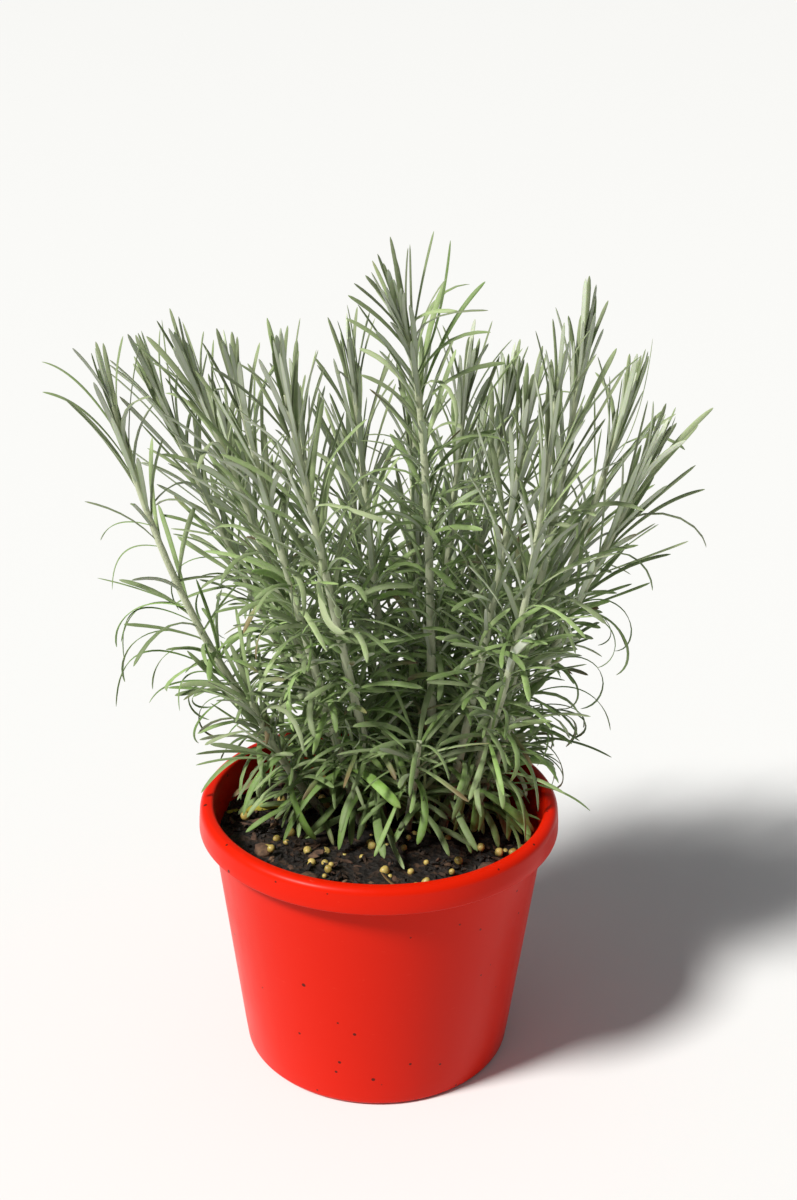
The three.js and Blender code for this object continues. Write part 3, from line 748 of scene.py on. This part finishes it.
for number, (node, (foot, tip, arch)) in enumerate(SHOOTS.items()):
    line = stem_line(foot, tip, arch)
    bm = bmesh.new()
    add_stem(bm, line)
    make_piece(node + "_stem", bm, woolly, [node], sharp=80)

    draw = random.Random(100 + number)
    bm = bmesh.new()
    layers = {key: bm.verts.layers.float.new(key) for key in ("felt", "dry", "tone", "under")}
    count = round(line.length() / LEAF_SPACING)
    lowest = line.share_at(STEM_BURIED + STEM_BARE)
    for k in range(count):
        rise = (k + 0.5) / count
        t = lowest + (1 - lowest) * (1 - (1 - rise) ** LEAF_CROWDING)
        age = max(1 - t, LAX.get(node, 0.0))
        along = line.heading(t)
        out = radial(along, k * LEAF_TURN + number)
        spread = math.radians(YOUNG_SPREAD + OLD_SPREAD * age ** 1.1 + (12 + 24 * age) * (chance(number, k) - 0.5))
        grown = 0.55 + 0.45 * min(1.0, age / 0.1)
        length = LEAF_LENGTH * grown * (1 - OLD_SHORTENING * age) * (0.74 + 0.4 * chance(k, number + 0.5))
        width = LEAF_WIDTH * (0.58 + 0.5 * age + 0.42 * chance(number + k, 2))
        droop = draw.uniform(-0.35, 0.5) + draw.uniform(0.2, 2.6) * age
        if draw.random() < CURLED_SHARE * min(1.0, age * 3):
            droop += draw.uniform(0.8, 1.8)
        shaded = max(0.0, age - SHADED_AGE)
        if draw.random() > FULLNESS.get(node, 1.0) + (1 - age) * 0.5 - 3.0 * shaded:
            continue
        grow_leaf(bm, layers, line.at(t), along, out, spread, length * (1 + 1.4 * shaded), width, age,
                  droop + 4 * shaded)

    # Short side shoots fill the lower part of the stem: a tuft of small leaves in the angle of an old one. Those on
    # the outside of the plant have mostly dried up and gone.
    tufts = round(line.length() * TUFT_REACH / TUFT_SPACING)
    for tuft in range(tufts):
        t = lowest + TUFT_REACH * (tuft + 1.1 + draw.random()) / tufts
        along = line.heading(t)
        out = radial(along, tuft * LEAF_TURN * 1.7 + number)
        kept = draw.random() < FULLNESS.get(node, 0.95) - 0.8 * max(0.0, outwardness(line.at(t), out))
        branch = (along + out * draw.uniform(0.5, 1.1)).normalized()
        sideways = branch.cross(out).normalized()
        for blade_number in range(TUFT_LEAVES if kept else 0):
            around = Quaternion(branch, blade_number * LEAF_TURN + tuft) @ branch.cross(sideways).normalized()
            root = line.at(t) + branch * blade_number * 1.6
            grow_leaf(bm, layers, root, branch, around, math.radians(draw.uniform(14, 60)),
                      draw.uniform(15, 33), LEAF_WIDTH * draw.uniform(0.65, 1.15), 0.6, draw.uniform(0.1, 1.6))

    # The oldest leaves, round the foot, are the broadest, and hang towards the mix.
    for k in range(BASAL_LEAVES):
        t = line.share_at(STEM_BURIED + draw.uniform(10, 34))
        along = line.heading(t)
        out = radial(along, k * LEAF_TURN + 2.1 * number)
        grow_leaf(bm, layers, line.at(t), along, out, math.radians(draw.uniform(45, 75)), draw.uniform(30, 46),
                  LEAF_WIDTH * draw.uniform(1.2, 2.1), 0.95, draw.uniform(1.3, 2.8))

    for share, control, end, width, felt in LONE_LEAVES.get(node, []):
        blade = Bow(line.at(share), Vector(control), Vector(end))
        side = line.heading(share).cross(blade.heading(0)).normalized()
        add_leaf(bm, layers, blade, side, width / 2, draw.uniform(-0.5, 0.5), 0.6, felt, 0.0, 0.8 + 0.35 * felt,
                 FINE_BLANK)

    # Starved old leaves on the outer shoots have shrunk to threads and curled down like hooks.
    for k in range(HOOKED.get(node, 0)):
        t = draw.uniform(0.16, 0.66)
        along = line.heading(t)
        out = max((radial(along, draw.uniform(0, 2 * math.pi)) for _ in range(4)),
                  key=lambda way: outwardness(line.at(t), way))
        grow_leaf(bm, layers, line.at(t), along, out, math.radians(draw.uniform(35, 70)), draw.uniform(30, 50),
                  LEAF_WIDTH * draw.uniform(0.45, 0.7), 0.9, draw.uniform(1.6, 3.6), hook=True)
    make_piece(node + "_leaves", bm, felted, [node], sharp=75)

# ---- Fallen leaves ----
# Dead leaves that have dropped on the mix: one broad and yellow, the others thin and brown, curled as they dried.

DEAD_YELLOW = "a39a2e"
DEAD_BROWN = "6d5434"

dead, output = new_material("dead_leaf")
# Dry leaf tissue, thin and dull, yellow fading to brown.
place = add_node(dead, "ShaderNodeTexCoord").outputs["Object"]
tone = add_node(dead, "ShaderNodeAttribute", attribute_name="tone").outputs["Fac"]
blotch = add_node(dead, "ShaderNodeTexNoise", {"Vector": place, "Scale": 330.0, "Detail": 4.0})
brownness = add_node(dead, "ShaderNodeMath", {0: blotch.outputs["Fac"], 1: tone}, operation="ADD", use_clamp=True)
brown_mask = add_node(dead, "ShaderNodeMapRange", {0: brownness.outputs[0], 1: 0.55, 2: 0.95, 3: 0.0, 4: 1.0})
tissue = add_node(dead, "ShaderNodeMix", {0: brown_mask.outputs[0], 6: linear(DEAD_YELLOW), 7: linear(DEAD_BROWN)},
                  data_type="RGBA")
bump = add_node(dead, "ShaderNodeBump", {"Height": blotch.outputs["Fac"], "Strength": 0.5, "Distance": 0.0003})
husk = add_node(dead, "ShaderNodeBsdfPrincipled", {
    "Base Color": tissue.outputs[2], "Roughness": 0.7, "Normal": bump.outputs[0], "Subsurface Weight": 0.1,
    "Subsurface Scale": 0.001})
dead.node_tree.links.new(husk.outputs[0], output.inputs[0])

fallen_plans = {"fallen_leaf_yellow": (15, 22, 3.6, 0.0), "fallen_leaf_front": (130, 17, 1.6, 0.5),
                "fallen_leaf_rear": (65, 20, 1.8, 0.5)}
for name, (heading, long, wide, brown) in fallen_plans.items():
    low_corner, high_corner = (Vector(corner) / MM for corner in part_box(name))
    centre = (low_corner + high_corner) / 2
    direction = Vector((math.cos(math.radians(heading)), math.sin(math.radians(heading)), 0))
    side = Vector((0, 0, 1)).cross(direction)
    line = Bow(centre - direction * long / 2 + Vector((0, 0, 0.6)), centre + side * 2, centre + direction * long / 2 +
               Vector((0, 0, 1.4)))
    bm = bmesh.new()
    layers = {key: bm.verts.layers.float.new(key) for key in ("felt", "dry", "tone", "under")}
    add_leaf(bm, layers, line, side, wide / 2, 0.5, 0.5, 0.0, 0.0, brown)
    make_piece(name + "_dry", bm, dead, [name], sharp=75)
for blank_mesh, _ in (BLANK, FINE_BLANK):
    bpy.data.meshes.remove(blank_mesh)

# ---- Studio ----
# A pale floor, a broad soft key light high at the front left, and a pale surround that fills the shadows.

FLOOR_GREY = "e6e7e8"
SURROUND = "f4f6f8"
KEY_COLOUR = "fffdf8"
KEY_STRENGTH = 4.5
KEY_ANGLE = 12
KEY_FROM = Vector((-0.57, -0.37, 0.733))
SURROUND_STRENGTH = 0.21
LENS = 48.04
CAMERA_PLACE = (0.0064, -0.5524, 0.4078)
CAMERA_PITCH = math.radians(21.7)
CAMERA_ROLL = math.radians(0.82)

bm = bmesh.new()
bmesh.ops.create_circle(bm, cap_ends=True, segments=96, radius=60.0, matrix=Matrix.Translation((0, 0, -0.0002)))
floor_mesh = bpy.data.meshes.new("studio_floor")
bm.to_mesh(floor_mesh)
bm.free()
paper, output = new_material("matt_studio_paper")
paper_shader = add_node(paper, "ShaderNodeBsdfPrincipled", {"Base Color": linear(FLOOR_GREY), "Roughness": 0.9})
paper.node_tree.links.new(paper_shader.outputs[0], output.inputs[0])
floor_mesh.materials.append(paper)
floor = bpy.data.objects.new("studio_floor", floor_mesh)
bpy.context.scene.collection.objects.link(floor)

key_data = bpy.data.lights.new("key_light", "SUN")
key_data.energy = KEY_STRENGTH
key_data.angle = math.radians(KEY_ANGLE)
key_data.color = linear(KEY_COLOUR)[:3]
key = bpy.data.objects.new("key_light", key_data)
key.rotation_euler = KEY_FROM.to_track_quat("Z", "Y").to_euler()
bpy.context.scene.collection.objects.link(key)

world = bpy.data.worlds.new("studio_surround")
world.use_nodes = True
world.node_tree.nodes["Background"].inputs["Color"].default_value = linear(SURROUND)
world.node_tree.nodes["Background"].inputs["Strength"].default_value = SURROUND_STRENGTH
bpy.context.scene.world = world
bpy.context.scene.view_settings.view_transform = "Standard"

# The camera looks down on the pot from the front, a little to the right of its axis.
camera_data = bpy.data.cameras.new("camera")
camera_data.sensor_width = 36.0
camera_data.lens = LENS
camera = bpy.data.objects.new("camera", camera_data)
camera.location = CAMERA_PLACE
aim = Vector((0, math.cos(CAMERA_PITCH), -math.sin(CAMERA_PITCH)))
camera.rotation_euler = (aim.to_track_quat("-Z", "Y") @ Quaternion((0, 0, 1), CAMERA_ROLL)).to_euler()
bpy.context.scene.collection.objects.link(camera)
bpy.context.scene.camera = camera
